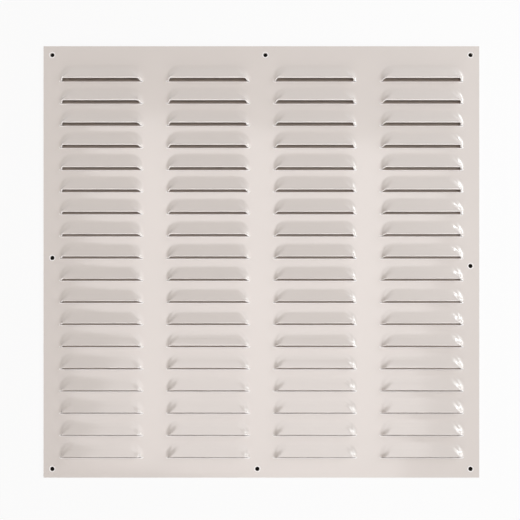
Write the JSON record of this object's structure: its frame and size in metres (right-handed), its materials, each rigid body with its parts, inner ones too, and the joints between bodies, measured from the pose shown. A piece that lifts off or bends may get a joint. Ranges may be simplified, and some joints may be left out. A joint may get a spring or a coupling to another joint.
{
  "type": "louvred sheet metal panel",
  "caption": "Flat painted steel ventilation panel with rows and columns of pressed louvres, and screw holes near its corners and the middles of its edges.",
  "frame": {"origin": "middle of the sheet on its back face, on which it lies", "axes": "+X along the louvres, +Y across the rows, away from the louvres' open sides, +Z out of the front face, the way the louvres stand up"},
  "size_m": [0.5, 0.495, 0.006],
  "materials": {
    "powder_coat": "satin powder coat, warm off-white"
  },
  "bodies": {
    "root": {"louvred_panel": "powder_coat"}
  },
  "joints": []
}
